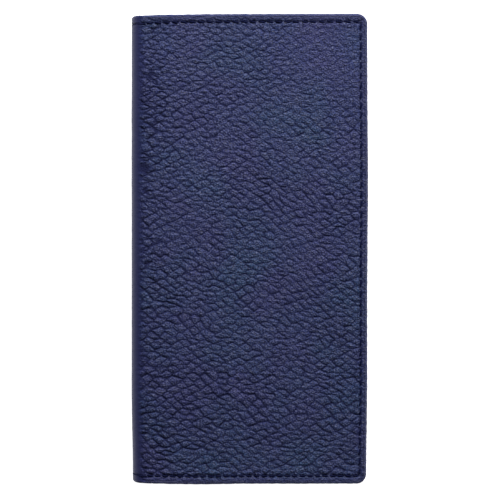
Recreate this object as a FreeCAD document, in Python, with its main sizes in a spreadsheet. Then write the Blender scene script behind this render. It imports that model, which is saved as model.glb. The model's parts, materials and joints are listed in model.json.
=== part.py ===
import FreeCAD, Part
import os

import Sketcher

# Long wallet, closed, lying on its back cover.
# X runs from the spine to the free edge, Y along the fold, Z through the thickness.
# The origin is the middle of the underside of the whole wallet.

os.makedirs("parts", exist_ok=True)
doc = FreeCAD.newDocument("long_wallet")

# ---------------------------------------------------------------- driving dimensions, mm

DIMENSIONS = [
    ("width", 95.0, "spine face to free edge"),
    ("length", 190.0, "along the fold"),
    ("thickness", 12.0, "closed, over both covers"),
    ("bend_radius", 4.5, "outside of the leather where it turns into the spine"),
    ("corner_radius", 4.2, "free corners of the covers"),
    ("arm_reach", 4.6, "spine face to the end of the spine leather on each cover"),
    ("cover_start", 5.1, "spine face to the near edge of a cover"),
    ("inside_start", 6.2, "spine face to the near edge of what each cover carries"),
    ("hide", 1.1, "cover and spine leather"),
    ("hem_depth", 0.5, "leather turned in at the edges, after skiving"),
    ("hem_width", 8.0, "how far the leather is turned in"),
    ("edge_round", 1.0, "outer edge of the covers"),
    ("inset", 1.2, "cover edge to the edges of the inner pieces"),
    ("lining", 0.3, "lining leather"),
    ("note_gap", 0.3, "each banknote compartment, empty"),
    ("seam_band", 3.6, "width sewn shut along three sides of a compartment"),
    ("divider", 0.4, "note divider"),
    ("panel", 0.4, "card panel"),
    ("pocket", 0.5, "one card pocket row"),
    ("row_count", 4.0, "card pocket rows in each half"),
    ("row_pitch", 10.0, "between two pocket mouths"),
    ("front_mouth", 47.25, "spine face to the mouth of the row next to the free edge"),
    ("pocket_depth", 44.5, "mouth to the bottom of a pocket"),
    ("stitch_inset", 2.75, "cover edge to the seam"),
    ("thread_width", 0.7, "sewing thread across the seam"),
    ("thread_depth", 0.35, "sewing thread sunk into the cover"),
    ("thread_proud", 0.22, "sewing thread lying on a pocket"),
    ("spine_board", 0.4, "spine reinforcement"),
]

sheet = doc.addObject("Spreadsheet::Sheet", "dims")
sheet.set("A1", "dimension")
sheet.set("B1", "value")
sheet.set("C1", "meaning")
for row, (alias, value, meaning) in enumerate(DIMENSIONS, start=2):
    sheet.set("A%d" % row, alias)
    sheet.set("B%d" % row, "%g" % value)
    sheet.set("C%d" % row, meaning)
    sheet.setAlias("B%d" % row, alias)
doc.recompute()


def with_sheet(formula):
    """Write every dimension of a formula as a reference to its cell."""
    words = formula.replace("(", "( ").replace(")", " )").split()
    aliases = {alias for alias, _, _ in DIMENSIONS}
    return " ".join("dims." + word if word in aliases else word for word in words)


def value_of(formula):
    """The number that a formula of dimensions gives now."""
    return float(sheet.evalExpression(with_sheet(formula)))


# ---------------------------------------------------------------- places, as formulas of the dimensions

FREE_EDGE = "width / 2"
HALF_LENGTH = "length / 2"
COVER_START = "cover_start - width / 2"
INSIDE_START = "inside_start - width / 2"
INSIDE_END = "width / 2 - inset"
INSIDE_HALF_LENGTH = "length / 2 - inset"
INSIDE_CORNER = "corner_radius - inset"

LINING_LEVEL = "hide + hem_depth"
DIVIDER_LEVEL = LINING_LEVEL + " + lining"
PANEL_LEVEL = DIVIDER_LEVEL + " + note_gap + divider"
POCKET_LEVEL = PANEL_LEVEL + " + note_gap + panel"

# ---------------------------------------------------------------- sketches and bodies


def new_body(name):
    body = doc.addObject("PartDesign::Body", name)
    body.Label = name
    return body


def new_sketch(body, name, role, level=None):
    """A sketch on one of the body's origin planes, lifted to a level where one is given."""
    plane = [f for f in body.Origin.OriginFeatures if f.Role == role][0]
    sketch = body.newObject("Sketcher::SketchObject", name)
    sketch.AttachmentSupport = [(plane, "")]
    sketch.MapMode = "FlatFace"
    if level is not None:
        sketch.setExpression("AttachmentOffset.Base.z", with_sheet(level))
    return sketch


def bind(sketch, kind, where, formula):
    """Add a dimension to a sketch and tie it to the sheet."""
    index = sketch.addConstraint(Sketcher.Constraint(kind, *where, value_of(formula)))
    sketch.setExpression("Constraints[%d]" % index, with_sheet(formula))


def draw_outline(sketch, corners):
    """Closed outline with right-angled corners, each (x, y, rounding or None), tied to the sheet."""
    spots = []
    for x, y, rounding in corners:
        radius = value_of(rounding) if rounding else 0.0
        spots.append((FreeCAD.Vector(value_of(x), value_of(y), 0), radius))
    count = len(spots)
    entries = []
    exits = []
    arcs = {}
    for i, (corner, radius) in enumerate(spots):
        back = (spots[i - 1][0] - corner).normalize()
        ahead = (spots[(i + 1) % count][0] - corner).normalize()
        entries.append(corner + back * radius)
        exits.append(corner + ahead * radius)
        if radius:
            inward = back + ahead
            centre = corner + inward * radius
            middle = centre - FreeCAD.Vector(inward).normalize() * radius
            turns_left = ahead.cross(back).z > 0
            ends = (entries[i], exits[i]) if turns_left else (exits[i], entries[i])
            arcs[i] = (sketch.addGeometry(Part.Arc(ends[0], middle, ends[1])), inward, turns_left)
    sides = []
    for i in range(count):
        sides.append(sketch.addGeometry(Part.LineSegment(exits[i], entries[(i + 1) % count])))

    for i, (x, y, rounding) in enumerate(corners):
        side_in = sides[i - 1]
        side_out = sides[i]
        if i not in arcs:
            sketch.addConstraint(Sketcher.Constraint("Coincident", side_in, 2, side_out, 1))
            bind(sketch, "DistanceX", (-1, 1, side_out, 1), x)
            bind(sketch, "DistanceY", (-1, 1, side_out, 1), y)
            continue
        arc, inward, turns_left = arcs[i]
        first, last = (1, 2) if turns_left else (2, 1)
        sketch.addConstraint(Sketcher.Constraint("Tangent", side_in, 2, arc, first))
        sketch.addConstraint(Sketcher.Constraint("Tangent", arc, last, side_out, 1))
        bind(sketch, "Radius", (arc,), rounding)
        sign_x = "+" if inward.x > 0 else "-"
        sign_y = "+" if inward.y > 0 else "-"
        bind(sketch, "DistanceX", (-1, 1, arc, 3), "%s %s ( %s )" % (x, sign_x, rounding))
        bind(sketch, "DistanceY", (-1, 1, arc, 3), "%s %s ( %s )" % (y, sign_y, rounding))


def panel_outline(sketch, start, end, half_length, corner=None):
    """Rectangle from start to end, with its two corners at the free edge rounded."""
    draw_outline(sketch, [
        (start, "- ( %s )" % half_length, None),
        (end, "- ( %s )" % half_length, corner),
        (end, half_length, corner),
        (start, half_length, None),
    ])


def pad(body, sketch, formula, symmetric=False):
    feature = body.newObject("PartDesign::Pad", sketch.Name + "_pad")
    feature.Profile = sketch
    feature.setExpression("Length", with_sheet(formula))
    if symmetric:
        feature.SideType = "Symmetric"
    return feature


def pocket(body, sketch, formula):
    """Cut downward from the sketch, and make sure that something was cut."""
    doc.recompute()
    volume_before = body.Shape.Volume
    feature = body.newObject("PartDesign::Pocket", sketch.Name + "_cut")
    feature.Profile = sketch
    feature.setExpression("Length", with_sheet(formula))
    doc.recompute()
    if not body.Shape.Volume < volume_before:
        raise RuntimeError(feature.Name + " cuts nothing")
    return feature


def flat_piece(name, start, end, half_length, level, depth, corner=None):
    body = new_body(name)
    sketch = new_sketch(body, name + "_outline", "XY_Plane", level)
    panel_outline(sketch, start, end, half_length, corner)
    pad(body, sketch, depth)
    return body


def recess(body, start, end, half_length, top_level, depth):
    """Open a flat space in a piece, open toward the spine."""
    sketch = new_sketch(body, body.Name + "_space", "XY_Plane", top_level)
    panel_outline(sketch, start, end, half_length)
    pocket(body, sketch, depth)


def spine_section(name, outer_gap, depth, length):
    """Channel that wraps the spine: a bent face with an arm along each cover."""
    body = new_body(name)
    sketch = new_sketch(body, name + "_section", "XZ_Plane")
    arm_end = "arm_reach - width / 2"
    inner_gap = "%s + %s" % (outer_gap, depth)
    outer_round = "bend_radius - ( %s )" % outer_gap
    inner_round = "bend_radius - ( %s )" % inner_gap
    outer_face = "%s - width / 2" % outer_gap
    inner_face = "%s - width / 2" % inner_gap
    outer_top = "thickness - ( %s )" % outer_gap
    inner_top = "thickness - ( %s )" % inner_gap
    draw_outline(sketch, [
        (arm_end, outer_gap, None),
        (outer_face, outer_gap, outer_round),
        (outer_face, outer_top, outer_round),
        (arm_end, outer_top, None),
        (arm_end, inner_top, None),
        (inner_face, inner_top, inner_round),
        (inner_face, inner_gap, inner_round),
        (arm_end, inner_gap, None),
    ])
    pad(body, sketch, length, symmetric=True)
    return body


def cut_out(name, base, tool):
    """What is left of base once tool's room is taken from it."""
    result = doc.addObject("Part::Cut", name)
    result.Label = name
    result.Base = base
    result.Tool = tool
    return result


def bar(name, start, end, low_y, high_y, level, depth):
    """Straight stretch of thread."""
    box = doc.addObject("Part::Box", name)
    box.setExpression("Placement.Base.x", with_sheet(start))
    box.setExpression("Placement.Base.y", with_sheet(low_y))
    box.setExpression("Placement.Base.z", with_sheet(level))
    box.setExpression("Length", with_sheet("%s - ( %s )" % (end, start)))
    box.setExpression("Width", with_sheet("%s - ( %s )" % (high_y, low_y)))
    box.setExpression("Height", with_sheet(depth))
    return box


def joined(name, shapes):
    result = doc.addObject("Part::MultiFuse", name)
    result.Label = name
    result.Shapes = shapes
    return result


# ---------------------------------------------------------------- pieces of one half


def round_outer_edge(body):
    """Round the underside's rim along the free edge and both ends."""
    doc.recompute()
    tip = body.Tip
    near_edge = value_of(COVER_START)
    names = []
    for index, edge in enumerate(tip.Shape.Edges, start=1):
        box = edge.BoundBox
        on_underside = box.ZMax < 1e-6
        at_spine = box.XMax < near_edge + 1e-6
        if on_underside and not at_spine:
            names.append("Edge%d" % index)
    fillet = body.newObject("PartDesign::Fillet", body.Name + "_round")
    fillet.Base = (tip, names)
    fillet.setExpression("Radius", with_sheet("edge_round"))


def seam_thread(name):
    """Thread along both ends and the free edge, sunk into the underside."""
    body = new_body(name)
    half_thread = "thread_width / 2"
    outer_x = "width / 2 - stitch_inset + " + half_thread
    inner_x = "width / 2 - stitch_inset - " + half_thread
    outer_y = "length / 2 - stitch_inset + " + half_thread
    inner_y = "length / 2 - stitch_inset - " + half_thread
    sketch = new_sketch(body, name + "_line", "XY_Plane")
    draw_outline(sketch, [
        (COVER_START, "- ( %s )" % outer_y, None),
        (outer_x, "- ( %s )" % outer_y, None),
        (outer_x, outer_y, None),
        (COVER_START, outer_y, None),
        (COVER_START, inner_y, None),
        (inner_x, inner_y, None),
        (inner_x, "- ( %s )" % inner_y, None),
        (COVER_START, "- ( %s )" % inner_y, None),
    ])
    pad(body, sketch, "thread_depth")
    return body


def cover_leather(name, thread):
    """Outer leather with its hem turned in on three sides, grooved for the seam."""
    body = flat_piece(name + "_hide", COVER_START, FREE_EDGE, HALF_LENGTH,
                      "0", LINING_LEVEL, "corner_radius")
    recess(body, COVER_START, "width / 2 - hem_width", "length / 2 - hem_width", LINING_LEVEL, "hem_depth")
    round_outer_edge(body)
    return cut_out(name, body, thread)


def compartment_wall(name, level, depth):
    """Wall of a full-length compartment, bent down to the piece below along three sides."""
    body = flat_piece(name, INSIDE_START, INSIDE_END, INSIDE_HALF_LENGTH, level,
                      "note_gap + " + depth, INSIDE_CORNER)
    recess(body, INSIDE_START, "%s - seam_band" % INSIDE_END, "%s - seam_band" % INSIDE_HALF_LENGTH,
           level + " + note_gap", "note_gap")
    return body


def row_mouth(number):
    """Mouth of a pocket row: row 1 is the front one, next to the free edge."""
    return "front_mouth - width / 2 - %d * row_pitch" % (number - 1)


def row_level(number):
    return "%s + ( row_count - %d ) * pocket" % (POCKET_LEVEL, number)


def pocket_row(name, number):
    """A row of card pockets, sewn down at its bottom. The front row's bottom is the free-edge seam."""
    if number > 1:
        bottom = row_mouth(number) + " + pocket_depth"
        return flat_piece(name, row_mouth(number), bottom, INSIDE_HALF_LENGTH, row_level(number), "pocket")
    body = flat_piece(name, row_mouth(1), INSIDE_END, INSIDE_HALF_LENGTH,
                      row_level(1), "pocket", INSIDE_CORNER)
    seam = new_sketch(body, name + "_seam", "XY_Plane", POCKET_LEVEL)
    panel_outline(seam, INSIDE_END + " - seam_band", INSIDE_END, INSIDE_HALF_LENGTH, INSIDE_CORNER)
    pad(body, seam, "( row_count - 1 ) * pocket")
    return body


def pocket_thread(name, rows):
    """Thread over the pockets: a line along each end, one down the middle and one along the free edge."""
    seam_y = "length / 2 - stitch_inset"
    seam_x = "width / 2 - stitch_inset"
    half_thread = "thread_width / 2"
    lines = {"low": "- ( %s )" % seam_y, "middle": "0", "high": seam_y}
    pieces = []
    for place, middle in lines.items():
        low_y = "%s - %s" % (middle, half_thread)
        high_y = "%s + %s" % (middle, half_thread)
        for number in range(rows, 0, -1):
            end = seam_x if number == 1 else row_mouth(number - 1)
            level = "%s + pocket" % row_level(number)
            label = "%s_%s_%d" % (name, place, number)
            pieces.append(bar(label, row_mouth(number), end, low_y, high_y, level, "thread_proud"))
        if place != "middle":
            label = "%s_%s_panel" % (name, place)
            pieces.append(bar(label, INSIDE_START, row_mouth(rows), low_y, high_y,
                              POCKET_LEVEL, "thread_proud"))
    low_end = "- ( %s ) - %s" % (seam_y, half_thread)
    high_end = "%s + %s" % (seam_y, half_thread)
    front_top = "%s + pocket" % row_level(1)
    near_x = "%s - %s" % (seam_x, half_thread)
    far_x = "%s + %s" % (seam_x, half_thread)
    pieces.append(bar(name + "_free_edge", near_x, far_x, low_end, high_end, front_top, "thread_proud"))
    return joined(name, pieces)


def back_half():
    """Every piece of the half that lies underneath, from its outer face inward."""
    thread = seam_thread("back_edge_stitching")
    pieces = [thread, cover_leather("back_cover_leather", thread)]
    pieces.append(flat_piece("back_cover_stiffener", INSIDE_START, "width / 2 - hem_width",
                             "length / 2 - hem_width", "hide", "hem_depth"))
    pieces.append(flat_piece("back_cover_lining", INSIDE_START, INSIDE_END, INSIDE_HALF_LENGTH,
                             LINING_LEVEL, "lining", INSIDE_CORNER))
    pieces.append(compartment_wall("back_note_divider", DIVIDER_LEVEL, "divider"))
    pieces.append(compartment_wall("back_card_panel", PANEL_LEVEL, "panel"))
    rows = int(value_of("row_count"))
    for number in range(rows, 0, -1):
        pieces.append(pocket_row("back_card_pocket_row_%d" % number, number))
    pieces.append(pocket_thread("back_pocket_stitching", rows))
    return pieces


def front_piece(back_piece):
    """The front half is the back half seen in the plane where the closed halves meet."""
    name = back_piece.Label.replace("back_", "front_")
    mirrored = doc.addObject("Part::Mirroring", name)
    mirrored.Label = name
    mirrored.Source = back_piece
    mirrored.Normal = FreeCAD.Vector(0, 0, 1)
    mirrored.setExpression("Base.z", with_sheet("thickness / 2"))
    return mirrored


# ---------------------------------------------------------------- pieces of the spine


def spine_thread(name):
    """The seam's thread where it crosses the spine near both ends."""
    seam_length = "length - 2 * stitch_inset"
    seam = spine_section(name + "_band", "0", "thread_depth", seam_length + " + thread_width")
    between = spine_section(name + "_between", "0", "thread_depth", seam_length + " - thread_width")
    return cut_out(name, seam, between)


def spine_pieces():
    inside_length = "length - 2 * inset"
    thread = spine_thread("spine_stitching")
    hide = spine_section("spine_leather_hide", "0", "hide", "length")
    leather = cut_out("spine_leather", hide, thread)
    board = spine_section("spine_reinforcement", "hide", "spine_board", inside_length)
    lining = spine_section("spine_lining", "hide + spine_board", "lining", inside_length)
    return [leather, thread, board, lining]


# ---------------------------------------------------------------- build, check and write

back = back_half()
front = [front_piece(piece) for piece in back]
parts = back + front + spine_pieces()
doc.recompute()

for item in doc.Objects:
    if "Invalid" in item.State or "Error" in item.State:
        raise RuntimeError("%s did not compute: %s" % (item.Name, item.State))
for part in parts:
    if part.Shape.isNull() or not part.Shape.isValid() or not part.Shape.Solids:
        raise RuntimeError(part.Label + " has no valid solid")

for part in parts:
    part.Shape.exportStep("parts/%s.step" % part.Label)
    box = part.Shape.optimalBoundingBox(False)
    print("%-26s solids %2d  volume %8.1f  size %6.2f x %6.2f x %5.2f" % (
        part.Label, len(part.Shape.Solids), part.Shape.Volume, box.XLength, box.YLength, box.ZLength))
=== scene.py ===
import json
import math

import bpy
import numpy as np
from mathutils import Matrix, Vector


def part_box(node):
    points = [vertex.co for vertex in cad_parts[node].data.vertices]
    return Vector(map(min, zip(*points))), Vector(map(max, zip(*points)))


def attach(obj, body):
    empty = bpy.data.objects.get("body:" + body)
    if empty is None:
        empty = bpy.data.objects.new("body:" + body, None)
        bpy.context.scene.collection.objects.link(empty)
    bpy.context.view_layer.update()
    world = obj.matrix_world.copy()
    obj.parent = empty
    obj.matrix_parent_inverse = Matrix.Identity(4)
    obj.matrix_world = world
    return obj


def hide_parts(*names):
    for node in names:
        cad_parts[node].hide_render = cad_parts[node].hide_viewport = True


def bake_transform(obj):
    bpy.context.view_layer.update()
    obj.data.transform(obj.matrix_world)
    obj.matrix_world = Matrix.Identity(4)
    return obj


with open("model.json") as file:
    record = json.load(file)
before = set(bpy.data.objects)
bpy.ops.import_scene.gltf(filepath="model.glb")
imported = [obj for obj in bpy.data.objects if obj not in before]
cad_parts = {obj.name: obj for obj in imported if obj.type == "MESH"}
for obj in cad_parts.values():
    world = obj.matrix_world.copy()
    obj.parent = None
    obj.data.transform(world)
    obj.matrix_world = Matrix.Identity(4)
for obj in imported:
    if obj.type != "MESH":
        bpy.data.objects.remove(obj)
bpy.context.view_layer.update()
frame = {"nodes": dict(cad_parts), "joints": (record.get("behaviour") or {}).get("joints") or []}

# Shapes are worked out in millimetres, and turned into metres when a mesh is made.
MM = 0.001

# ---- sizes, from the frame


def box_mm(node):
    """A node's box in millimetres, as (low corner, high corner)."""
    low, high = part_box(node)
    return np.array(low) / MM, np.array(high) / MM


cover_low, cover_high = box_mm("front_cover_leather")
SPINE_X = box_mm("spine_leather")[0][0]
FREE_X = cover_high[0]
HALF_LENGTH = cover_high[1]
THICKNESS = cover_high[2]
HEM = cover_high[2] - cover_low[2]
HIDE = box_mm("spine_reinforcement")[0][0] - SPINE_X
CORNER = 4.2
hinge_x = {joint["name"]: joint["pos_m"][0] / MM for joint in frame["joints"]}
BEND = (hinge_x["spine_fold"] - SPINE_X) / (1 - math.pi / 4)

# The outer skin is described flat: p runs from the middle of the spine to the free edge and q along the
# fold. The skin rises up the spine, turns over the bend and then lies level.
BEND_START = THICKNESS / 2 - BEND
BEND_END = BEND_START + BEND * math.pi / 2
FREE_P = BEND_END + FREE_X - SPINE_X - BEND

# Seams and creases, measured inward from the outline. SEAM_SWELL is how strongly the leather beside a seam
# bulges, and SEAM_PAST_BEND is how far past the bend the first hole is.
CREASE_INSET = 1.35
SEAM_INSET = {"high": 3.35, "free": 2.85, "low": 3.35}
STITCH_PITCH = {"high": 3.45, "free": 3.97, "low": 3.14}
SEAM_SWELL = {"high": 0.5, "free": 1.0, "low": 2.2}
SEAM_PAST_BEND = 1.2

# The edge: leather rolled over, a short side, a tight lower turn and the hem underneath. The *_STARTS and
# *_ENDS values are distances along the surface past a corner's centre line.
ROLL = 1.1
LOWER_ROLL = 0.3
SIDE = HEM - ROLL - LOWER_ROLL
HEM_SHOWN = 2.6
ROLL_STARTS = CORNER - ROLL
ROLL_ENDS = ROLL_STARTS + ROLL * math.pi / 2
SIDE_ENDS = ROLL_ENDS + SIDE
LOWER_ENDS = SIDE_ENDS + LOWER_ROLL * math.pi / 2
HEM_ENDS = LOWER_ENDS + HEM_SHOWN
STEP_ENDS = HEM_ENDS + (HEM - HIDE)

# Grain: a pebble's width and height, how deep the creases are, and the size of the finer grain on top.
PEBBLE_WIDE = 5.2
PEBBLE_TALL = 3.8
GRAIN_DEPTH = 0.70
FINE_WIDE = 1.9
FINE_TALL = 1.5
FINE_DEPTH = 0.12

# Thread: its radius, how long the inner stitches are, and how far they lie in from their node's box.
OUTER_THREAD = 0.34
INNER_THREAD = 0.25
SPINE_THREAD = 0.24
INNER_PITCH = 3.3
THREAD_INSET = 0.35

# The inside: layer thicknesses, the creased line beside a pocket's mouth, and the strips in the fold.
LEAF_THICKNESS = 0.5
LINING_THICKNESS = 0.3
MOUTH_LINE = 1.6
REINFORCEMENT = 0.4
GUTTER_LINING = 0.3

# ---- small maths


def smooth(low, high, value):
    """Rises smoothly from 0 at low to 1 at high, or falls if high is the smaller."""
    t = np.clip((value - low) / (high - low), 0.0, 1.0)
    return t * t * (3.0 - 2.0 * t)


def bump(centre, width, value):
    """A rounded peak of height 1 at centre."""
    return np.exp(-((value - centre) / width) ** 2)


def noise(x, y, size_x, size_y, seed):
    """Smooth noise from -1 to 1, with features about size_x by size_y. Its table repeats."""
    cells = 256
    always_positive = 1000.0
    table = np.random.RandomState(seed).uniform(-1, 1, (cells, cells))
    u = x / size_x + always_positive
    v = y / size_y + always_positive
    i = np.floor(u).astype(int)
    j = np.floor(v).astype(int)
    s = smooth(0.0, 1.0, u - i)
    t = smooth(0.0, 1.0, v - j)
    a = table[i % cells, j % cells]
    b = table[(i + 1) % cells, j % cells]
    c = table[i % cells, (j + 1) % cells]
    d = table[(i + 1) % cells, (j + 1) % cells]
    return (a * (1 - s) + b * s) * (1 - t) + (c * (1 - s) + d * s) * t


def shuffled(number):
    """A repeatable value from 0 to 1 for each number, by the usual sine hash."""
    return np.modf(np.abs(np.sin(number * 12.9898 + 4.1414) * 43758.5453))[0]


# ---- leather grain


def pebbles(x, y, seed, wide, tall, lean):
    """Pebbled grain, as a dict: height from about -1 to 0, crease from 0 to about 1, a random tone from 0 to
    1 for each pebble, and the step (step_x, step_y) to the nearest crease.

    The pebbles are the cells of points scattered in staggered rows. The rows are half a pebble apart, so
    each pebble comes to a point at both ends, as a fish scale does. wide and tall are a pebble's sizes, and
    lean is the angle of its long side at each place."""
    margin = 6             # rows and columns of points kept past each side
    nearby = 7             # the nearest points that shape a place
    longer = 1.08          # a pebble is a little longer than its share of the row
    narrow, broad = 0.28, 0.95      # widths of a crease's sharp middle and of its rounded shoulders
    row_gap = tall / 2
    low_x = x.min() - margin * wide
    low_y = y.min() - margin * row_gap
    across = int((x.max() - low_x) / wide) + margin + 1
    along = int((y.max() - low_y) / row_gap) + margin + 1
    chance = np.random.RandomState(seed)
    spread_x = chance.uniform(0.28, 0.72, (across, along)) + 0.5 * (np.arange(along) % 2)
    spread_y = chance.uniform(0.22, 0.78, (across, along))
    column = np.floor((x - low_x) / wide).astype(int)
    row = np.floor((y - low_y) / row_gap).astype(int)
    stretch = math.sqrt(wide / tall) * longer
    angle = lean(x, y)
    cos, sin = np.cos(angle), np.sin(angle)
    # Every point that could be near, as (square distance, a, b, its own number). a runs along the pebble and
    # b across it, both scaled so that a pebble is round.
    found = []
    for step_x in range(-3, 3):
        for step_y in range(-4, 5):
            i = column + step_x
            j = row + step_y
            dx = low_x + (i + spread_x[i, j]) * wide - x
            dy = low_y + (j + spread_y[i, j]) * row_gap - y
            a = (dx * cos + dy * sin) / stretch
            b = (dy * cos - dx * sin) * stretch
            found.append((a * a + b * b, a, b, i * 1024.0 + j))
    square, a, b, point = (np.array(rows) for rows in zip(*found))
    order = np.argsort(square, axis=0)[:nearby]
    square, a, b, point = (np.take_along_axis(rows, order, axis=0) for rows in (square, a, b, point))
    height, crease, step_x, step_y = (np.zeros_like(x) for _ in range(4))
    nearest = np.full_like(x, 9.0)
    broken = 0.88 + 0.36 * noise(x, y, 1.6, 1.3, seed + 60)      # creases fade and return along their length
    for k in range(1, nearby):
        gap = np.hypot(a[k] - a[0], b[k] - b[0]) + 1e-9
        normal_a = (a[k] - a[0]) / gap / stretch
        normal_b = (b[k] - b[0]) / gap * stretch
        size = np.hypot(normal_a, normal_b)
        away = (square[k] - square[0]) / (2 * gap) / size
        # Both pebbles beside a crease give it the same depth. It is deeper between rows than within one.
        share = shuffled(np.minimum(point[0], point[k]) * 0.731 + np.maximum(point[0], point[k]) * 1.377)
        between_rows = smooth(0.3, 0.9, np.abs(normal_b) / size)
        depth = (0.25 + 0.50 * share) * (1 - between_rows) + (0.55 + 0.45 * share) * between_rows
        depth = depth * broken
        cut = 0.50 * np.exp(-away / narrow) + 0.50 * bump(0.0, broad, away)
        height = np.minimum(height, -depth * cut)
        crease = np.maximum(crease, depth * bump(0.0, 0.26, away))
        closer = away < nearest
        nearest = np.where(closer, away, nearest)
        step_x = np.where(closer, away * (normal_a * cos - normal_b * sin) / size, step_x)
        step_y = np.where(closer, away * (normal_a * sin + normal_b * cos) / size, step_y)
    tone = shuffled(point[0] * 3.17)
    tilt = shuffled(point[0] * 7.31) - 0.5
    swell = (tone - 0.5) * 0.5 + 0.35 * tilt * b[0] / row_gap
    height = height + 0.22 * swell * (1 - np.exp(-nearest / 0.5))
    return {"height": height, "crease": crease, "tone": tone, "step_x": step_x, "step_y": step_y}


def wrinkles(x, y, seed, long, apart):
    """Long fine creases that run mostly along X: (height from -1 to 0, crease from 0 to 1)."""
    wander = 1.1 * noise(x, y, 9.0, 5.0, seed) + 0.5 * noise(x, y, 3.0, 3.0, seed + 1)
    ridge = np.abs(noise(x, y + wander, long, apart, seed + 2))
    strength = smooth(-0.3, 0.5, noise(x, y, 12.0, 7.0, seed + 3))
    return -strength * np.exp(-ridge / 0.10), strength * bump(0.0, 0.06, ridge)


# ---- the shape of the outer skin


def base_curve(p):
    """Section across the wallet: place (x, z) and outward direction (x, z), for the front half."""
    turn = np.clip((p - BEND_START) / BEND, 0.0, math.pi / 2)
    x = SPINE_X + BEND * (1 - np.cos(turn)) + np.maximum(p - BEND_END, 0.0)
    z = THICKNESS - BEND * (1 - np.sin(turn)) + np.minimum(p - BEND_START, 0.0)
    return x, z, -np.cos(turn), np.sin(turn)


def edge_section(run):
    """Distance along the surface past a corner's centre line, to (reach outward, drop)."""
    roll = np.clip((run - ROLL_STARTS) / ROLL, 0.0, math.pi / 2)
    lower = np.clip((run - SIDE_ENDS) / LOWER_ROLL, 0.0, math.pi / 2)
    reach = np.minimum(run, ROLL_STARTS) + ROLL * np.sin(roll) - LOWER_ROLL * (1 - np.cos(lower))
    reach = reach - np.clip(run - LOWER_ENDS, 0.0, HEM_SHOWN)
    drop = ROLL * (1 - np.cos(roll)) + np.clip(run - ROLL_ENDS, 0.0, SIDE) + LOWER_ROLL * np.sin(lower)
    drop = drop - np.clip(run - HEM_ENDS, 0.0, HEM - HIDE)
    return reach, drop


def corner_turn(a, b):
    """Round the corner of a square grid: (how far past the centre, angle from 0 to a quarter turn)."""
    run = np.maximum(a, b)
    safe = np.maximum(run, 1e-9)
    return run, np.where(a >= b, b / safe, 2.0 - a / safe) * math.pi / 4


def place(p, q):
    """Grid values to (p on the base curve, y, drop, distance in from the outline, flat p, flat q)."""
    centre_p = FREE_P - CORNER
    centre_q = HALF_LENGTH - CORNER
    a = np.maximum(p - centre_p, 0.0)
    b = np.maximum(np.abs(q) - centre_q, 0.0)
    run, angle = corner_turn(a, b)
    angle = np.where(a <= 0.0, math.pi / 2, np.where(b <= 0.0, 0.0, angle))
    reach, drop = edge_section(run)
    side = np.sign(q)
    on_p = np.where(a > 0, centre_p + reach * np.cos(angle), p)
    y = np.where(b > 0, side * (centre_q + reach * np.sin(angle)), q)
    flat_p = np.where(a > 0, centre_p + run * np.cos(angle), p)
    flat_q = np.where(b > 0, side * (centre_q + run * np.sin(angle)), q)
    inward = np.where(run > 0, CORNER - reach, np.minimum(FREE_P - p, HALF_LENGTH - np.abs(q)))
    return on_p, y, drop, inward, flat_p, flat_q


def settle(x, y):
    """The slight unevenness of a used outline: its ends draw in at the spine, and it narrows toward the low
    end."""
    from_spine = x - SPINE_X
    across = from_spine / (FREE_X - SPINE_X)
    high_end = smooth(55.0, HALF_LENGTH, y)
    low_end = smooth(55.0, HALF_LENGTH, -y)
    high_shift = -0.85 * np.exp(-from_spine / 15.0)
    low_shift = 0.75 * np.exp(-from_spine / 4.0) - 0.25 * bump(26.0, 14.0, from_spine)
    spine_side = 0.45 * smooth(60.0, HALF_LENGTH, -y) - 0.52
    free_side = 0.30 * bump(28.0, 30.0, y) + 0.02 - 0.45 * smooth(50.0, HALF_LENGTH, -y)
    new_x = x + spine_side * (1 - across) + free_side * across
    return new_x, y + high_shift * high_end + low_shift * low_end


# ---- meshes


def add_object(name, data):
    thing = bpy.data.objects.new(name, data)
    bpy.context.scene.collection.objects.link(thing)
    return thing


def new_object(name, vertices, faces, uv=None, values=None, smooth_angle=40.0):
    """A mesh object from millimetres, with a flat map and named values at its vertices."""
    mesh = bpy.data.meshes.new(name)
    mesh.from_pydata((np.asarray(vertices, float) * MM).tolist(), [], faces)
    mesh.validate()
    if uv is not None:
        layer = mesh.uv_layers.new(name="flat")
        corner = np.zeros(len(mesh.loops), np.int32)
        mesh.loops.foreach_get("vertex_index", corner)
        layer.data.foreach_set("uv", (np.asarray(uv, float)[corner] * MM).astype(np.float32).ravel())
    for title, numbers in (values or {}).items():
        stored = mesh.attributes.new(title, "FLOAT", "POINT")
        stored.data.foreach_set("value", np.asarray(numbers, np.float32))
    mesh.shade_smooth()
    mesh.set_sharp_from_angle(angle=math.radians(smooth_angle))
    return add_object(name, mesh)


def stations(start, end, step):
    """Evenly spaced values from start to end, at most step apart."""
    return np.linspace(start, end, max(2, int(math.ceil((end - start) / step)) + 1))


def edge_stations():
    """Runs past a corner's centre line, close together where the surface bends."""
    return np.concatenate([
        stations(0.0, ROLL_STARTS, 0.22)[1:],
        stations(ROLL_STARTS, ROLL_ENDS, 0.25)[1:],
        [SIDE_ENDS],
        stations(SIDE_ENDS, LOWER_ENDS, 0.16)[1:],
        [HEM_ENDS, STEP_ENDS],
    ])


def grid_faces(columns, rows):
    """Quads of a grid whose vertex number is column * rows + row."""
    column, row = np.meshgrid(np.arange(columns - 1), np.arange(rows - 1), indexing="ij")
    first = (column * rows + row).ravel()
    return np.stack([first, first + rows, first + rows + 1, first + 1], axis=1)


def grid_ring(columns, rows):
    """Vertex numbers round the outside of such a grid."""
    last = rows - 1
    ring = [i * rows for i in range(columns)]
    ring += [(columns - 1) * rows + j for j in range(1, rows)]
    ring += [i * rows + last for i in range(columns - 2, -1, -1)]
    ring += list(range(last - 1, 0, -1))
    return ring


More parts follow.
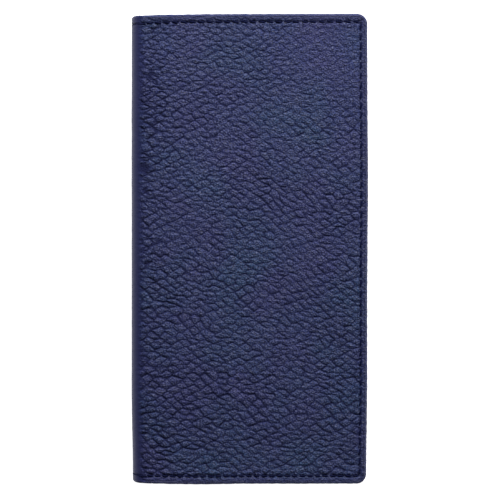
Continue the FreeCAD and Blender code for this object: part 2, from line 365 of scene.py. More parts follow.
def surface_normals(points):
    """Outward directions of a grid of points, from the points beside each one."""
    along_p = np.gradient(points, axis=0)
    along_q = np.gradient(points, axis=1)
    normal = np.cross(along_p, along_q)
    return normal / (np.linalg.norm(normal, axis=2, keepdims=True) + 1e-12)


def stitch_holes(side):
    """Where a seam's holes are, measured along it."""
    if side == "free":
        start, end = -HALF_LENGTH + SEAM_INSET["low"], HALF_LENGTH - SEAM_INSET["high"]
    else:
        start, end = BEND_END + SEAM_PAST_BEND, FREE_P - SEAM_INSET["free"]
    count = max(1, round((end - start) / STITCH_PITCH[side]))
    return np.linspace(start, end, count + 1)


def seam_relief(p, q, inward):
    """Groove, holes and swelling of the seams: (height, painted shade in the groove). On the spine a seam is
    one thin line.
    """
    height = np.zeros_like(p)
    painted_shade = np.zeros_like(p)
    from_side = {"high": HALF_LENGTH - q, "low": HALF_LENGTH + q, "free": FREE_P - p}
    nearest = np.argmin(np.stack(list(from_side.values())), axis=0)
    for index, (side, across) in enumerate(from_side.items()):
        here = nearest == index
        along = q if side == "free" else p
        holes = stitch_holes(side)
        beat = np.cos((along - holes[0]) / (holes[1] - holes[0]) * 2 * math.pi)     # 1 at each hole
        off = across - SEAM_INSET[side]
        on_spine = np.zeros_like(p) if side == "free" else smooth(BEND_END + 1.5, BEND_END - 0.5, p)
        sewn = 1 - on_spine
        stitch = smooth(0.80, 0.25, beat)
        groove = sewn * (0.22 + 0.22 * stitch) * bump(0.0, 0.48, off)
        groove = groove + on_spine * 0.28 * bump(0.0, 0.26, off)
        swell = sewn * SEAM_SWELL[side] * (0.10 - 0.05 * beat) * bump(1.6, 1.0, off)
        swell = swell + sewn * 0.30 * np.clip(-off / 1.7, 0.0, 1.0) * smooth(0.2, 1.3, inward)
        height = np.where(here, swell - groove, height)
        # Painted shade in the groove, darkest under the middle of each stitch.
        shade = smooth(0.40 + 0.32 * sewn, 0.16 + 0.16 * sewn, np.abs(off))
        shade = shade * (1 - sewn * (0.5 - 0.5 * stitch))
        painted_shade = np.where(here, shade, painted_shade)
    return height, painted_shade


def lean_of_grain(x, y):
    """Angle of the pebbles' long side: nearly level, and falling to the right over the cover's free half."""
    middle = smooth(-15.0, 20.0, x) * smooth(75.0, 30.0, np.abs(y + 5.0))
    drift = 0.20 * noise(x, y, 24.0, 30.0, 71)
    return -0.04 - 0.14 * middle + drift


def main_pebbles(flat_p, flat_q, seed):
    """The large pebbles at places on the flat skin. Their rows are wavy and fall to the right, and they are
    very slightly larger toward the low end."""
    x = flat_p - FREE_P + FREE_X
    y = flat_q
    size = 1.00 + 0.03 * y / HALF_LENGTH
    row_y = y * size + 0.12 * x + 4.5 * smooth(0.0, 45.0, x) * smooth(70.0, 20.0, np.abs(y))
    row_y = row_y + 1.3 * noise(x, y, 15.0, 12.0, seed + 10) + 0.5 * noise(x, y, 4.5, 4.0, seed + 12)
    row_y = row_y + 0.14 * noise(x, y, 1.4, 1.4, seed + 13)
    row_x = x * size + 1.0 * noise(x, y, 9.0, 9.0, seed + 11)
    return pebbles(row_x, row_y, seed, PEBBLE_WIDE, PEBBLE_TALL, lean_of_grain)


def snap_to_creases(p, q, seed, reach):
    """Grid places, moved onto a crease where one passes close by, so that the creases come out sharp."""
    on_p, _, _, inward, flat_p, flat_q = place(p, q)
    grain = main_pebbles(flat_p, flat_q, seed)
    away = np.hypot(grain["step_x"], grain["step_y"])
    inside_seam = 4.6
    near = (away < reach) & (on_p > BEND_END + 0.8) & (inward > inside_seam)
    return p + near * grain["step_x"], q + near * grain["step_y"]


def skin_relief(flat_p, flat_q, inward, on_p, seed):
    """Height of the leather over its plain surface, and the values its material reads."""
    x = flat_p - FREE_P + FREE_X
    main = main_pebbles(flat_p, flat_q, seed)
    fine = pebbles(x, flat_q, seed + 5, FINE_WIDE, FINE_TALL, lean_of_grain)
    fold, fold_crease = wrinkles(x, flat_q, seed + 20, 16.0, 2.9)
    near_spine = smooth(26.0, 3.0, x - SPINE_X) * 0.85
    height = np.minimum(main["height"], fold * near_spine)
    crease = np.maximum(main["crease"], fold_crease * near_spine)
    # How strong the grain is: calmer in the high free corner, almost none on the spine, weaker at the rim.
    quiet = smooth(-5.0, 35.0, x) * smooth(40.0, 80.0, flat_q)
    calm = 1 - 0.45 * quiet
    calm = calm * (0.94 + 0.18 * noise(x, flat_q, 18.0, 18.0, seed + 30))
    calm = calm + 0.40 * near_spine + 0.15 * smooth(-10.0, -70.0, flat_q)
    bend = smooth(BEND_END - 2.0, BEND_END - 0.3, on_p)
    rim = 0.35 + 0.30 * smooth(1.1, 1.6, inward) + 0.35 * smooth(2.6, 3.6, inward)
    grain = (0.08 + 0.92 * bend) * rim * calm
    seam, seam_painted_shade = seam_relief(flat_p, flat_q, inward)
    line = bump(CREASE_INSET, 0.24, inward) * bend
    near_seam = 0.75 + 0.25 * smooth(3.2, 6.5, inward)
    waves = 0.10 * noise(x, flat_q, 30.0, 26.0, seed + 40) + 0.05 * noise(x, flat_q, 11.0, 9.0, seed + 41)
    relief = GRAIN_DEPTH * height + FINE_DEPTH * fine["height"]
    lift = grain * relief + seam - 0.12 * line + waves * smooth(3.0, 8.0, inward)
    ends = bend * (1 - smooth(2.5, 3.1, HALF_LENGTH - np.abs(flat_q)))
    # crease, seam and fold mark where the material paints shade; smooth_bend marks the bend it paints
    # darker, partly burnished and partly shade.
    values = {
        "crease": np.clip(grain * near_seam * (crease + 0.30 * fine["crease"] * (1 - crease)), 0, 1),
        "seam": np.clip(np.maximum(seam_painted_shade, 0.95 * line), 0, 1),
        "rim": 1 - smooth(2.2, 2.9, inward),
        "smooth_bend": 1 - bend,
        "fold": bump(BEND_END + 3.3 - BEND, 1.7, on_p),
        "dull": np.maximum(ends * (1 - 0.75 * smooth(0.5, 1.2, inward)), 0.30 * quiet),
        "tone": main["tone"],
    }
    return lift, values


def outer_skin(name, half, seed, grid_step):
    """One hide from the middle of the spine round the bend and over a cover, turned in at three edges."""
    past = edge_stations()
    p_line = np.concatenate([
        stations(0.0, BEND_START, 0.5),
        stations(BEND_START, BEND_END, 0.42)[1:],
        stations(BEND_END, FREE_P - CORNER, grid_step)[1:],
        FREE_P - CORNER + past,
    ])
    q_line = np.concatenate([
        -(HALF_LENGTH - CORNER) - past[::-1],
        stations(-(HALF_LENGTH - CORNER), HALF_LENGTH - CORNER, grid_step),
        HALF_LENGTH - CORNER + past,
    ])
    p, q = np.meshgrid(p_line, q_line, indexing="ij")
    p, q = snap_to_creases(p, q, seed, reach=0.48 * grid_step)      # under half a step, so none swap places
    on_p, y, drop, inward, flat_p, flat_q = place(p, q)
    x, z, out_x, out_z = base_curve(on_p)
    points = np.stack([x - drop * out_x, y, z - drop * out_z], axis=2)
    normals = surface_normals(points)
    lift, values = skin_relief(flat_p, flat_q, inward, on_p, seed)
    past_edge = np.maximum(p - FREE_P + CORNER, np.abs(q) - HALF_LENGTH + CORNER)
    fade = smooth(LOWER_ENDS, ROLL_ENDS, past_edge)
    points = points + normals * (lift * fade)[..., None]
    points[..., 0], points[..., 1] = settle(points[..., 0], points[..., 1])
    if half == "back":
        points[..., 2] = THICKNESS - points[..., 2]

    # The inner side: strips across the spine, one face inside the hem, and one at the spine's middle.
    columns, rows = p.shape
    last = rows - 1
    faces = grid_faces(columns, rows).tolist()
    bend_columns = int(np.searchsorted(p_line, BEND_END))
    for i in range(bend_columns):
        faces.append([i * rows, i * rows + last, (i + 1) * rows + last, (i + 1) * rows])
    rim = [i * rows for i in range(bend_columns, columns)]
    rim += [(columns - 1) * rows + j for j in range(1, rows)]
    rim += [i * rows + last for i in range(columns - 2, bend_columns - 1, -1)]
    faces.append(rim[::-1])
    faces.append(list(range(rows)))
    if half == "back":
        faces = [face[::-1] for face in faces]
    uv = np.stack([flat_p, flat_q], axis=2).reshape(-1, 2)
    flat_values = {title: numbers.ravel() for title, numbers in values.items()}
    return new_object(name, points.reshape(-1, 3), faces, uv, flat_values)


# ---- materials


def new_material(name):
    material = bpy.data.materials.new(name)
    material.use_nodes = True
    material.node_tree.nodes.clear()
    return material


def add_node(material, kind, **settings):
    made = material.node_tree.nodes.new(kind)
    for key, value in settings.items():
        setattr(made, key, value)
    return made


def feed(material, value, socket):
    """Sets a socket to a number or a colour, or joins another node's output to it."""
    if isinstance(value, (int, float)):
        socket.default_value = value
    elif isinstance(value, tuple):
        socket.default_value = (*value, 1.0)
    else:
        material.node_tree.links.new(value, socket)


def scaled_map(material, place_socket, scale):
    mapping = add_node(material, "ShaderNodeMapping")
    mapping.inputs["Scale"].default_value = scale
    feed(material, place_socket, mapping.inputs["Vector"])
    return mapping.outputs["Vector"]


def flat_map(material):
    """The piece's flat map, in millimetres."""
    uv = add_node(material, "ShaderNodeUVMap", uv_map="flat")
    return scaled_map(material, uv.outputs["UV"], (1 / MM, 1 / MM, 1 / MM))


def noise_node(material, vector, scale, detail=3.0, roughness=0.55):
    made = add_node(material, "ShaderNodeTexNoise")
    for key, value in (("Scale", scale), ("Detail", detail), ("Roughness", roughness), ("Vector", vector)):
        feed(material, value, made.inputs[key])
    return made.outputs["Fac"]


def cell_node(material, vector, scale, feature="F1"):
    made = add_node(material, "ShaderNodeTexVoronoi", feature=feature)
    made.inputs["Scale"].default_value = scale
    feed(material, vector, made.inputs["Vector"])
    return made.outputs["Distance"]


def attribute(material, name):
    return add_node(material, "ShaderNodeAttribute", attribute_name=name).outputs["Fac"]


def calculate(material, operation, first, second, clamp=False):
    made = add_node(material, "ShaderNodeMath", operation=operation, use_clamp=clamp)
    feed(material, first, made.inputs[0])
    feed(material, second, made.inputs[1])
    return made.outputs[0]


def times(material, first, second, clamp=False):
    return calculate(material, "MULTIPLY", first, second, clamp)


def plus(material, first, second, clamp=False):
    return calculate(material, "ADD", first, second, clamp)


def remap(material, value, low, high, new_low=0.0, new_high=1.0):
    made = add_node(material, "ShaderNodeMapRange")
    keys = ("Value", "From Min", "From Max", "To Min", "To Max")
    for key, given in zip(keys, (value, low, high, new_low, new_high)):
        feed(material, given, made.inputs[key])
    return made.outputs["Result"]


def mix(material, factor, first, second, blend="MIX"):
    made = add_node(material, "ShaderNodeMix", data_type="RGBA", blend_type=blend)
    feed(material, factor, made.inputs["Factor"])
    colour_inputs = [s for s in made.inputs if s.type == "RGBA"]
    feed(material, first, colour_inputs[0])
    feed(material, second, colour_inputs[1])
    return [s for s in made.outputs if s.type == "RGBA"][0]


def finish_material(material, colour, roughness, height, distance, strength, specular=0.5):
    """The shader, with an optional bump that is distance metres deep."""
    shader = add_node(material, "ShaderNodeBsdfPrincipled")
    feed(material, specular, shader.inputs["Specular IOR Level"])
    feed(material, colour, shader.inputs["Base Color"])
    feed(material, roughness, shader.inputs["Roughness"])
    if height is not None:
        relief = add_node(material, "ShaderNodeBump")
        relief.inputs["Distance"].default_value = distance
        relief.inputs["Strength"].default_value = strength
        feed(material, height, relief.inputs["Height"])
        feed(material, relief.outputs["Normal"], shader.inputs["Normal"])
    output = add_node(material, "ShaderNodeOutputMaterial")
    feed(material, shader.outputs["BSDF"], output.inputs["Surface"])
    return shader


# Colours of the cover leather, as linear red, green and blue.
NAVY = (0.009, 0.022, 0.119)
NAVY_VIOLET = (0.017, 0.019, 0.120)
NAVY_STEEL = (0.002, 0.040, 0.118)
# Painted shade, put in the creases, the seam grooves, the grit's pits and the fold beside the spine.
NAVY_PAINTED_SHADE = (0.000, 0.002, 0.036)
# The spine's bend: partly burnished leather, partly painted shade where it turns away from the light.
NAVY_BURNISHED_AND_SHADE = (0.007, 0.010, 0.062)
NAVY_RIM = (0.010, 0.013, 0.080)
# Painted glints: pale specks that stand for highlights on the fine grain.
NAVY_PAINTED_GLINT = (0.070, 0.084, 0.182)


def pebbled_leather():
    """The cover's leather. Its attributes come from skin_relief, and its finer detail is worked out here."""
    material = new_material("pebbled_leather")
    flat = flat_map(material)
    clouds = noise_node(material, flat, 0.045, 2.0)
    clouds_two = noise_node(material, flat, 0.030, 2.0)
    speckle = noise_node(material, flat, 0.95, 4.0, 0.8)
    grit = noise_node(material, flat, 1.5, 1.0, 0.6)
    pores = cell_node(material, flat, 1.15)
    tiny = noise_node(material, flat, 5.0, 3.0, 0.6)
    names = ("crease", "seam", "rim", "smooth_bend", "fold", "dull", "tone")
    crease, seam, rim, smooth_bend, fold, dull, tone = (attribute(material, name) for name in names)

    # Two slow clouds of tint, a tone for each pebble, dark specks of painted shade in the pits and pale
    # specks of painted glint, then the rim, the spine (burnished and painted shade), and painted shade in
    # the fold and creases.
    colour = mix(material, remap(material, clouds, 0.35, 0.65), NAVY, NAVY_VIOLET)
    colour = mix(material, remap(material, clouds_two, 0.46, 0.70, 0.0, 0.8), colour, NAVY_STEEL)
    light = times(material, remap(material, tone, 0.0, 1.0, 0.92, 1.08),
                  remap(material, speckle, 0.35, 0.65, 0.75, 1.25))
    grey = add_node(material, "ShaderNodeCombineColor")
    for socket in grey.inputs[:3]:
        feed(material, light, socket)
    colour = mix(material, 1.0, colour, grey.outputs["Color"], "MULTIPLY")
    # Painted shade in the pits of the fine grit.
    colour = mix(material, remap(material, grit, 0.52, 0.38, 0.0, 0.95), colour, NAVY_PAINTED_SHADE)
    # Painted glints as pale specks where the grit stands highest.
    colour = mix(material, remap(material, grit, 0.52, 0.70), colour, NAVY_PAINTED_GLINT)
    colour = mix(material, times(material, rim, 0.55), colour, NAVY_RIM)
    # The smooth bend is darker: partly burnished leather, partly painted shade where the spine turns from
    # the light.
    colour = mix(material, smooth_bend, colour, NAVY_BURNISHED_AND_SHADE)
    # Painted shade in the fold beside the spine.
    colour = mix(material, times(material, fold, 0.55), colour, NAVY_PAINTED_SHADE)
    # Painted shade in the creases, the seam grooves and the creased line near the edge.
    painted_shade = calculate(material, "MAXIMUM", times(material, crease, 1.35, True), times(material, seam, 0.95))
    colour = mix(material, painted_shade, colour, NAVY_PAINTED_SHADE)

    # Creases, the spine, the fold beside it and the dull places shine less.
    roughness = remap(material, speckle, 0.30, 0.70, 0.40, 0.56)
    roughness = plus(material, roughness, times(material, crease, 0.9), True)
    for place_value, amount in ((smooth_bend, 0.10), (dull, 0.35), (fold, 0.35)):
        roughness = plus(material, roughness, times(material, place_value, amount))

    # Pores and grit stand in the bump, less on the spine and at the fold.
    grainy = calculate(material, "SUBTRACT", 1.0, times(material, smooth_bend, 0.8))
    grainy = times(material, grainy, calculate(material, "SUBTRACT", 1.0, times(material, fold, 0.4)))
    height = calculate(material, "SUBTRACT", remap(material, grit, 0.34, 0.66),
                       times(material, pores, 0.9))
    height = plus(material, height, times(material, tiny, 0.15))
    height = times(material, height, grainy)
    finish_material(material, colour, roughness, height, 0.00024, 1.0)
    return material


def thread_material(name):
    material = new_material(name)
    fibre = noise_node(material, flat_map(material), 6.0, 3.0, 0.7)
    colour = mix(material, fibre, (0.001, 0.002, 0.018), (0.003, 0.006, 0.048))
    roughness = remap(material, fibre, 0.2, 0.8, 0.65, 0.85)
    finish_material(material, colour, roughness, fibre, 0.00008, 0.6, 0.12)
    return material


def fine_leather(name, base, other, deep, grain_scale):
    """Thin leather for the panels, pockets and linings, with grain_scale cells of grain a millimetre."""
    material = new_material(name)
    flat = flat_map(material)
    clouds = noise_node(material, flat, 0.06, 3.0)
    speckle = noise_node(material, flat, 1.4, 4.0, 0.7)
    cells = cell_node(material, flat, grain_scale, "DISTANCE_TO_EDGE")
    tiny = cell_node(material, flat, grain_scale * 2.3)
    line = attribute(material, "line")
    edge = attribute(material, "edge")
    # deep is the colour of the dark speckle and of the painted shade.
    colour = mix(material, remap(material, clouds, 0.35, 0.65), base, other)
    crease = remap(material, cells, 0.0, 0.16, 1.0, 0.0)
    # Painted shade in the grain's creases, in the creased line beside a mouth and along the edges.
    painted_shade = calculate(material, "MAXIMUM", times(material, crease, 0.55), line)
    painted_shade = calculate(material, "MAXIMUM", painted_shade, times(material, edge, 0.85))
    colour = mix(material, times(material, speckle, 0.35), colour, deep)
    colour = mix(material, painted_shade, colour, deep)
    roughness = remap(material, speckle, 0.3, 0.7, 0.52, 0.68)
    roughness = plus(material, roughness, times(material, crease, 0.2), True)
    height = plus(material, remap(material, cells, 0.0, 0.30), times(material, tiny, 0.35))
    height = plus(material, height, times(material, speckle, 0.5))
    finish_material(material, colour, roughness, height, 0.00010, 0.9)
    return material


def board_material():
    """Grey board, with fibres that run along Y."""
    material = new_material("grey_board")
    place_node = add_node(material, "ShaderNodeTexCoord")
    streaks = scaled_map(material, place_node.outputs["Object"], (900, 250, 900))
    fibre = noise_node(material, streaks, 1.0, 4.0, 0.7)
    colour = mix(material, fibre, (0.16, 0.14, 0.11), (0.30, 0.27, 0.22))
    roughness = remap(material, fibre, 0.2, 0.8, 0.75, 0.95)
    finish_material(material, colour, roughness, fibre, 0.0001, 0.6, 0.3)
    return material


def floor_material():
    """A pale matt floor with a glow of its own, because the photograph's background is white."""
    material = new_material("pale_floor")
    place_node = add_node(material, "ShaderNodeTexCoord")
    soft = noise_node(material, place_node.outputs["Object"], 6.0, 2.0)
    colour = mix(material, soft, (0.86, 0.86, 0.86), (0.90, 0.90, 0.90))
    roughness = remap(material, soft, 0.0, 1.0, 0.85, 0.95)
    shader = finish_material(material, colour, roughness, None, 0, 0, 0.1)
    shader.inputs["Emission Color"].default_value = (1.0, 1.0, 1.0, 1.0)
    shader.inputs["Emission Strength"].default_value = 0.90
    return material


# ---- stitches


def skin_point(p, q, lift, half):
    """A point on a cover's plain surface, lifted off it."""
    on_p, y, drop, _, _, _ = place(np.asarray(p, float), np.asarray(q, float))
    x, z, out_x, out_z = base_curve(on_p)
    x, y = settle(x + (lift - drop) * out_x, y)
    z = z + (lift - drop) * out_z
    if half == "back":
        z = THICKNESS - z
    return np.stack([x, y, z], axis=-1)


def tube(points, radius):
    """Closed tube along points, with a slight two-ply twist: (vertices, faces, flat map)."""
    sides = 8
    plies = 2
    twist = 1.5            # radians for each millimetre
    ply_depth = 0.16
    count = len(points)
    ahead = np.gradient(points, axis=0)
    ahead /= np.linalg.norm(ahead, axis=1, keepdims=True)
    sideways = np.cross(ahead, [0.0, 0.0, 1.0])
    upright = np.linalg.norm(sideways, axis=1) < 1e-6
    sideways[upright] = [1.0, 0.0, 0.0]
    sideways /= np.linalg.norm(sideways, axis=1, keepdims=True)
    over = np.cross(sideways, ahead)
    along = np.concatenate([[0.0], np.cumsum(np.linalg.norm(np.diff(points, axis=0), axis=1))])
    vertices, uv, faces = [], [], []
    for k in range(count):
        for n in range(sides):
            angle = 2 * math.pi * n / sides
            around = radius[k] * (1 + ply_depth * math.cos(plies * (angle - twist * along[k])))
            outward = math.cos(angle) * sideways[k] + math.sin(angle) * over[k]
            vertices.append(points[k] + around * outward)
            uv.append((along[k], angle * radius[k]))
    for k in range(count - 1):
        for n in range(sides):
            m = (n + 1) % sides
            faces.append([k * sides + n, k * sides + m, (k + 1) * sides + m, (k + 1) * sides + n])
    faces.append(list(range(sides))[::-1])
    faces.append([(count - 1) * sides + n for n in range(sides)])
    return vertices, faces, uv


def gather(name, parts):
    """Several closed meshes as one object."""
    vertices, faces, uv = [], [], []
    for more_vertices, more_faces, more_uv in parts:
        start = len(vertices)
        vertices.extend(more_vertices)
        faces.extend([[start + v for v in face] for face in more_faces])
        uv.extend(more_uv)
    return new_object(name, vertices, faces, uv, smooth_angle=60.0)


def stitch_shape(count, radius, end_share):
    """One stitch at count places: (share of its length, how far it has risen, its radius there)."""
    share = np.linspace(0.0, 1.0, count)
    rise = np.sin(share * math.pi)
    return share, rise ** 0.6, radius * (end_share + (1 - end_share) * rise ** 0.4)


def stitch_run(first, second, share, gap):
    """Places along a stitch between two holes. gap is the share of the pitch left free at each end."""
    spare = gap * (second - first)
    return first + spare + share * (second - first - 2 * spare)


def edge_stitches(name, half, seed):
    """Single slanted stitches, each sunk at both ends, along both ends of a cover and its free edge."""
    chance = np.random.RandomState(seed)
    slants = {"high": 0.34, "free": 0.34, "low": 0.20}
    parts = []
    share, arch, thick = stitch_shape(9, OUTER_THREAD, 0.45)
    for side, slant_there in slants.items():
        inset = SEAM_INSET[side]
        holes = stitch_holes(side)
        for first, second in zip(holes[:-1], holes[1:]):
            slant = slant_there + chance.uniform(-0.05, 0.05)
            along = stitch_run(first, second, share, 0.11)
            across = inset + slant * (2 * share - 1) + chance.uniform(-0.04, 0.04)
            lift = -0.50 + 0.36 * arch + chance.uniform(-0.03, 0.03)
            if side == "free":
                route = skin_point(FREE_P - 2 * inset + across, along, lift, half)
            else:
                y = HALF_LENGTH - across if side == "high" else -HALF_LENGTH + 2 * inset - across
                route = skin_point(along, y, lift, half)
            parts.append(tube(route, thick))
    return gather(name, parts)


# ---- the inside


def rounded_grid(x_line, y_line, radius):
    """A grid whose two corners at the free edge are rounded: (x, y, distance in from the outline)."""
    x, y = np.meshgrid(x_line, y_line, indexing="ij")
    centre_x = x_line[-1] - radius
    centre_y = y_line[-1] - radius
    a = np.maximum(x - centre_x, 0.0)
    b = np.maximum(np.abs(y) - centre_y, 0.0)
    run, angle = corner_turn(a, b)
    both = (a > 0) & (b > 0)
    inward = np.where(both, radius - run, np.minimum(x_line[-1] - x, y_line[-1] - np.abs(y)))
    inward = np.minimum(inward, x - x_line[0])
    x = np.where(both, centre_x + run * np.cos(angle), x)
    y = np.where(both, np.sign(y) * (centre_y + run * np.sin(angle)), y)
    return x, y, inward


def edged_line(low, high, step, extra=()):
    """Grid stations with close ones at both ends, for a rounded edge, and around each extra place."""
    close = np.array([0.0, 0.07, 0.18, 0.40])
    places = [low + close, stations(low + close[-1], high - close[-1], step), high - close]
    places += [centre + np.array([-0.45, -0.2, 0.0, 0.2, 0.45]) for centre in extra]
    line = np.unique(np.round(np.concatenate(places), 4))
    least_gap = 0.06
    line = line[np.concatenate([[True], np.diff(line) > least_gap])]
    line[-1] = high
    return line


def leaf(name, x_range, half_y, z_range, half, seed, mouth, puff, radius):
    """A leather layer of the back half, or its mirror image in the front half, crowned on its inner face.

    mouth is the place of the creased line that runs beside an open edge, or None. puff is the height of the
    crown, and radius rounds the two corners at the free edge."""
    step = 1.25
    extra = () if mouth is None else (mouth,)
    x_line = edged_line(x_range[0], x_range[1], step, extra)
    y_line = edged_line(-half_y, half_y, step)
    x, y, inward = rounded_grid(x_line, y_line, radius)
    low, high = z_range
    rounding = min(0.28, (high - low) * 0.6)
    over = np.clip(1 - inward / rounding, 0.0, 1.0)
    drop = rounding * (1 - np.sqrt(np.clip(1 - over * over, 0.0, 1.0)))
    line = np.zeros_like(x) if mouth is None else bump(mouth, 0.22, x)
    crown = smooth(0.0, 9.0, x - x_range[0]) * smooth(2.5, 12.0, half_y - np.abs(y))
    crown = crown * smooth(1.0, 9.0, np.abs(y))
    waves = 0.03 * noise(x, y, 6.0, 7.0, seed) * smooth(0.5, 4.0, inward)
    z = high - drop + (puff * crown + waves - 0.10 * line)
    columns, rows = x.shape
    faces = grid_faces(columns, rows).tolist()
    ring = grid_ring(columns, rows)
    points = np.stack([x, y, z], axis=2).reshape(-1, 3)
    under = points[ring].copy()
    under[:, 2] = low
    first = len(points)
    count = len(ring)
    for n in range(count):
        m = (n + 1) % count
        faces.append([ring[m], ring[n], first + n, first + m])
    faces.append([first + n for n in range(count)][::-1])
    points = np.concatenate([points, under])
    # The underside's flat map is a touch larger, so that the sides' isn't squashed to nothing.
    flat = points[:, :2].copy()
    flat[first:] += (points[ring][:, :2] - np.array([x_range[0], 0.0])) * 0.002
    # line and edge mark where the material paints shade: the creased line beside a mouth, the edges and the
    # underside.
    values = {
        "line": np.concatenate([line.ravel(), np.zeros(count)]),
        "edge": np.concatenate([smooth(0.5, 0.0, inward).ravel(), np.ones(count)]),
    }
    points[:, 0], points[:, 1] = settle(points[:, 0], points[:, 1])
    if half == "front":
        points[:, 2] = THICKNESS - points[:, 2]
        faces = [face[::-1] for face in faces]
    return new_object(name, points, faces, flat, values)


def inner_level(x, levels):
    """Height of the top layer of the back half at x. levels is a list of (mouth x, height)."""
    height = levels[0][1]
    for mouth, level in levels[1:]:
        height = np.where(x >= mouth, level, height)
    return height


def inner_stitches(name, half, levels, edge_x, edge_y, seed):
    """Single stitches along both ends, the free edge and the middle of the pockets, at each layer's height.

    The pockets' mouths break the seams, and the middle seam starts at the second mouth."""
    chance = np.random.RandomState(seed)
    share, arch, thick = stitch_shape(7, INNER_THREAD, 0.5)
    parts = []
    start_x = levels[0][0] + 3.0

    def sew(along_start, along_end, route):
        count = round(abs(along_end - along_start) / INNER_PITCH)
        holes = np.linspace(along_start, along_end, count + 1)
        for first, second in zip(holes[:-1], holes[1:]):
            along = stitch_run(first, second, share, 0.12)
            slant = 0.14 * (2 * share - 1) + chance.uniform(-0.03, 0.03)
            x, y = route(along, slant)
            lift = -0.22 + 0.36 * arch
            z = inner_level(x, levels).max() + lift
            x, y = settle(x, y)
            if half == "front":
                z = THICKNESS - z
            parts.append(tube(np.stack([x, y, z], axis=1), thick))

    breaks = [start_x] + [mouth for mouth, _ in levels[1:]] + [edge_x]
    for side in (-1, 1):
        for low, high in zip(breaks[:-1], breaks[1:]):
            sew(low + 0.3, high - 0.3, lambda along, slant, side=side: (along, side * edge_y + slant))
    for low, high in zip(breaks[1:-1], breaks[2:]):
        sew(low + 0.3, high - 0.3, lambda along, slant: (along, slant))
    sew(-edge_y, edge_y, lambda along, slant: (edge_x + slant, along))
    return gather(name, parts)


def gutter(name, half, outer, inner, end_x, seed):
    """A strip inside the fold: from mid-spine round the bend to end_x, between two depths under the skin."""
    half_y = HALF_LENGTH - 1.2
    end_p = BEND_END + end_x - SPINE_X - BEND
    p_line = np.concatenate([
        stations(0.0, BEND_START, 0.75),
        stations(BEND_START, BEND_END, 0.55)[1:],
        stations(BEND_END, end_p, 0.6)[1:],
    ])
    y_line = edged_line(-half_y, half_y, 1.6)
    p, y = np.meshgrid(p_line, y_line, indexing="ij")
    x, z, out_x, out_z = base_curve(p)
    creased = 0.05 * noise(p, y, 2.5, 9.0, seed)
    shell = []
    for depth in (inner + creased, outer):
        new_x, new_y = settle(x - depth * out_x, y)
        shell.append(np.stack([new_x, new_y, z - depth * out_z], axis=2))
    columns, rows = p.shape
    quads = grid_faces(columns, rows)
    count = columns * rows
    faces = quads[:, ::-1].tolist() + (quads + count).tolist()
    ring = grid_ring(columns, rows)
    for n, here in enumerate(ring):
        after = ring[(n + 1) % len(ring)]
        faces.append([here, after, count + after, count + here])
    points = np.concatenate([part.reshape(-1, 3) for part in shell])
    if half == "back":
        points[:, 2] = THICKNESS - points[:, 2]
        faces = [face[::-1] for face in faces]
    flat = np.concatenate([np.stack([p, y], axis=2).reshape(-1, 2)] * 2)
    values = {"line": np.zeros(2 * count), "edge": np.zeros(2 * count)}
    return new_object(name, points, faces, flat, values)


def spine_thread(name, half):
    """The seam's thread where it crosses the spine, as one straight line at each end."""
    parts = []
    route_p = np.concatenate([stations(0.0, BEND_END, 0.5), stations(BEND_END, BEND_END + 1.4, 0.5)[1:]])
    x, z, out_x, out_z = base_curve(route_p)
    lift = -0.16 + 0.02 * np.cos(route_p * 2 * math.pi / STITCH_PITCH["high"])
    for y_at in (HALF_LENGTH - SEAM_INSET["high"] - 0.25, -HALF_LENGTH + SEAM_INSET["low"] - 0.15):
        new_x, new_y = settle(x + lift * out_x, np.full_like(x, y_at))
        new_z = z + lift * out_z
        if half == "back":
            new_z = THICKNESS - new_z
        route = np.stack([new_x, new_y, new_z], axis=1)
        parts.append(tube(route, np.full(len(route_p), SPINE_THREAD)))
    return gather(name, parts)


# ---- build

leather = pebbled_leather()
thread = thread_material("waxed_thread")
fine_thread = thread_material("fine_thread")
# The third colour of each leather is both its dark speckle and its painted shade.
inner_leather = fine_leather("panel_leather", (0.014, 0.022, 0.082), (0.020, 0.023, 0.090),
                             (0.002, 0.003, 0.020), 1.1)
lining_leather = fine_leather("lining_leather", (0.020, 0.028, 0.088), (0.026, 0.028, 0.094),
                              (0.004, 0.005, 0.026), 1.9)
board = board_material()

front_skin = outer_skin("front_cover_skin", "front", seed=7, grid_step=0.33)
back_skin = outer_skin("back_cover_skin", "back", seed=23, grid_step=0.44)
for skin in (front_skin, back_skin):
    skin.data.materials.append(leather)

# Where each skin's bend meets the spine and the cover, in metres.
front_spine = (SPINE_X * MM, 0.0, (THICKNESS - BEND) * MM)
front_cover = ((SPINE_X + BEND) * MM, 0.0, THICKNESS * MM)
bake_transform(front_skin)
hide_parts("front_cover_leather")
back_spine = (SPINE_X * MM, 0.0, BEND * MM)
back_cover = ((SPINE_X + BEND) * MM, 0.0, 0.0)
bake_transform(back_skin)
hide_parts("back_cover_leather", "spine_leather")

for half in ("front", "back"):
    stitches = edge_stitches(half + "_stitches", half, seed=3)
    stitches.data.materials.append(thread)
    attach(stitches, half + "_half")
    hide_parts(half + "_edge_stitching")

# The layers of a half, from the cover inward: each one's node and the height of its crown.
LAYERS = (("cover_lining", 0.0), ("note_divider", 0.0), ("card_panel", 0.0), ("card_pocket_row_4", 0.12),
          ("card_pocket_row_3", 0.12), ("card_pocket_row_2", 0.12), ("card_pocket_row_1", 0.14))

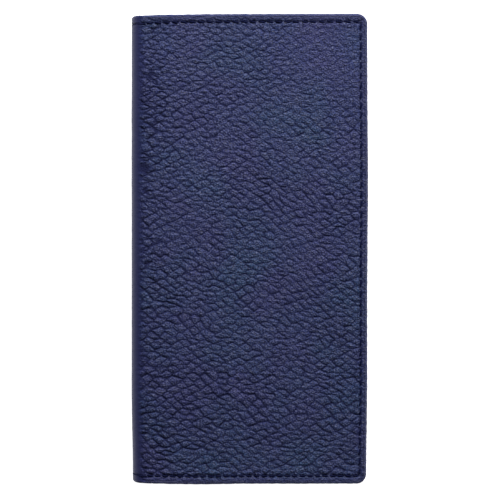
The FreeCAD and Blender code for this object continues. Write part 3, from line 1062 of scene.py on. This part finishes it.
levels = []             # (place of its mouth, height) for the card panel and each row on it
for number, (node, puff) in enumerate(LAYERS):
    low, high = box_mm("back_" + node)
    rounded = 3.0 if high[0] > FREE_X - 5 else 0.5      # rounder where a layer reaches the cover's corners
    if node == "cover_lining":
        piece_name, material, slot = "note_lining", lining_leather, "lining_leather"
        thick, mouth = LINING_THICKNESS, None
    else:
        piece_name, material, slot = node.replace("pocket_", "") + "_leaf", inner_leather, "inner_leather"
        thick, mouth = LEAF_THICKNESS, low[0] + MOUTH_LINE
    if node.startswith("card_"):
        levels.append((low[0], high[2]))
    for half in ("back", "front"):
        piece = leaf(half + "_" + piece_name, (low[0], high[0]), high[1], (high[2] - thick, high[2]), half,
                     seed=50 + number, mouth=mouth, puff=puff, radius=rounded)
        piece.data.materials.append(material)
        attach(piece, half + "_half")
        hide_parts(half + "_" + node)

edge_x, edge_y = box_mm("back_pocket_stitching")[1][:2] - THREAD_INSET
for half in ("back", "front"):
    piece = inner_stitches(half + "_pocket_stitches", half, levels, edge_x, edge_y, seed=9)
    piece.data.materials.append(fine_thread)
    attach(piece, half + "_half")
    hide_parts(half + "_pocket_stitching")
    stiffener = frame["nodes"][half + "_cover_stiffener"]
    stiffener.data.materials.clear()
    stiffener.data.materials.append(board)

gutter_end = box_mm("back_cover_lining")[0][0]
joined = {"back": ("back_half", "spine", back_cover, back_spine),
          "front": ("spine", "front_half", front_spine, front_cover)}
for half, (first_body, second_body, bend_from, bend_to) in joined.items():
    core = gutter(half + "_spine_board", half, HIDE, HIDE + REINFORCEMENT, gutter_end - 0.3, seed=61)
    core.data.materials.append(board)
    lining = gutter(half + "_gutter_lining", half, HIDE + REINFORCEMENT,
                    HIDE + REINFORCEMENT + GUTTER_LINING, gutter_end - 0.05, seed=62)
    lining.data.materials.append(lining_leather)
    seam = spine_thread(half + "_spine_thread", half)
    seam.data.materials.append(thread)
    for piece in (core, lining, seam):
        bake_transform(piece)
    if half == "back":
        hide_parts("spine_reinforcement")
        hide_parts("spine_lining")
        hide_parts("spine_stitching")

# ---- floor, light and camera

# From here on sizes are in metres.
FLOOR_REACH = 3.0
FLOOR_LEVEL = -0.0002
SENSOR_WIDTH = 36.0     # in millimetres, as Blender has it
CAMERA_DISTANCE = 0.8
PICTURE_WIDTH = 0.2017
PICTURE_CENTRE_Y = -0.0005

floor_mesh = bpy.data.meshes.new("floor")
corners = [(FLOOR_REACH * x, FLOOR_REACH * y, 0) for x, y in ((-1, -1), (1, -1), (1, 1), (-1, 1))]
floor_mesh.from_pydata(corners, [], [(0, 1, 2, 3)])
floor = add_object("floor", floor_mesh)
floor.data.materials.append(floor_material())
floor.location.z = FLOOR_LEVEL


def area_light(name, location, size, power):
    """A soft rectangular light, aimed at the middle of the floor."""
    data = bpy.data.lights.new(name, "AREA")
    data.shape = "RECTANGLE"
    data.size, data.size_y = size
    data.energy = power
    light = add_object(name, data)
    light.location = location
    light.rotation_euler = (-Vector(location)).to_track_quat("-Z", "Y").to_euler()


area_light("key", location=(0.06, 0.80, 0.58), size=(0.30, 0.20), power=15.5)
area_light("fill", location=(0.1, -0.72, 0.80), size=(0.8, 0.6), power=1.6)


def studio_world():
    """Pale low surroundings that meet the floor, and a dim ceiling."""
    world = bpy.data.worlds.new("studio")
    world.use_nodes = True
    direction = add_node(world, "ShaderNodeTexCoord")
    split = add_node(world, "ShaderNodeSeparateXYZ")
    feed(world, direction.outputs["Generated"], split.inputs["Vector"])
    shade = remap(world, split.outputs["Z"], 0.10, 0.30, 1.0, 0.06)
    shade.node.interpolation_type = "SMOOTHSTEP"
    background = world.node_tree.nodes["Background"]
    feed(world, shade, background.inputs["Strength"])
    feed(world, (1.0, 1.0, 1.0), background.inputs["Color"])
    return world


bpy.context.scene.world = studio_world()
bpy.context.scene.view_settings.view_transform = "Standard"

camera_data = bpy.data.cameras.new("camera")
camera_data.sensor_width = SENSOR_WIDTH
camera_data.lens = SENSOR_WIDTH * CAMERA_DISTANCE / PICTURE_WIDTH
camera = add_object("camera", camera_data)
camera.location = (0.0, PICTURE_CENTRE_Y, THICKNESS * MM + CAMERA_DISTANCE)
camera.rotation_euler = (0.0, 0.0, 0.0)
bpy.context.scene.camera = camera
